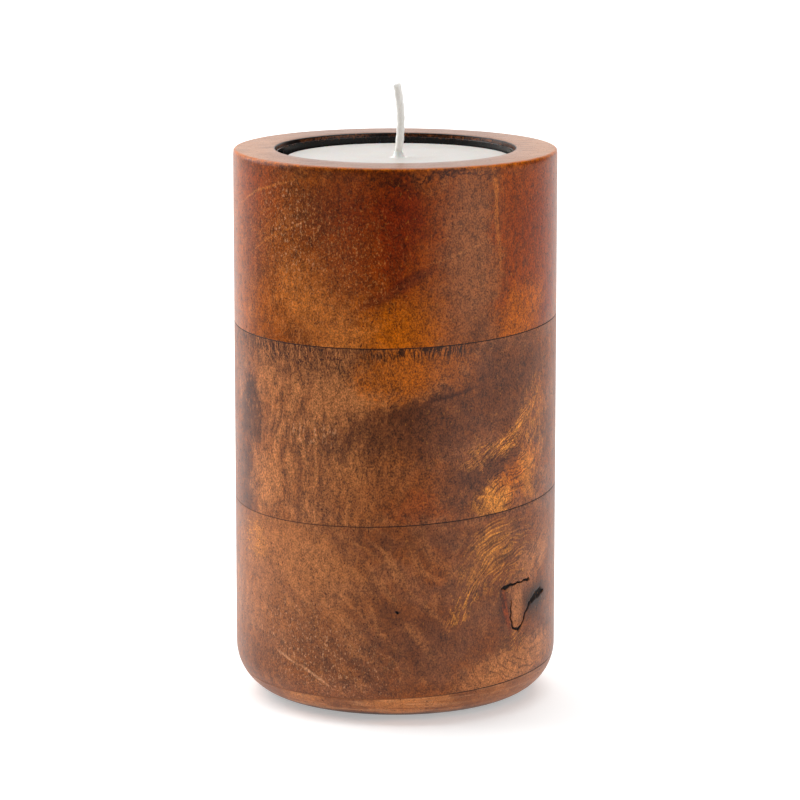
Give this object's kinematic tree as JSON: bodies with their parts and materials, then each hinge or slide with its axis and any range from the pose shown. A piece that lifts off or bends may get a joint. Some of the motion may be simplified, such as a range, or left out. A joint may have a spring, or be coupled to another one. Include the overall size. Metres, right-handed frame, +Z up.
{
  "type": "pillar candle holder",
  "caption": "Upright turned-wood cylinder with a rounded foot and a deep lined bore that a pillar candle stands in, nearly flush with the rim; the candle lifts straight out.",
  "frame": {"origin": "centre of the foot, on the surface that the holder stands on", "axes": "+Z up along the turning axis, -Y the front, +X to the right"},
  "size_m": [0.1, 0.1, 0.191],
  "materials": {
    "stained_wood": "red-brown stain under satin lacquer",
    "dark_glue": "cured wood glue, dark with stain",
    "black_felt": "pressed wool felt",
    "black_enamel": "glossy black enamel",
    "candle_wax": "smooth pale wax",
    "waxed_cotton": "braided cotton stiffened with wax",
    "tinned_steel": "tinned sheet"
  },
  "bodies": {
    "holder": {"top_ring": "stained_wood", "middle_block": "stained_wood", "lower_block": "stained_wood", "base_slice": "stained_wood", "top_glue_line": "dark_glue", "middle_glue_line": "dark_glue", "base_glue_line": "dark_glue", "felt_pad": "black_felt", "liner_cup": "black_enamel"},
    "candle": {"candle_wax": "candle_wax", "wick": "waxed_cotton", "wick_sustainer": "tinned_steel"}
  },
  "joints": [
    {"name": "candle_lift", "type": "slide", "parent": "holder", "child": "candle", "axis": [0, 0, 1], "range_m": [0, 0.09]}
  ]
}
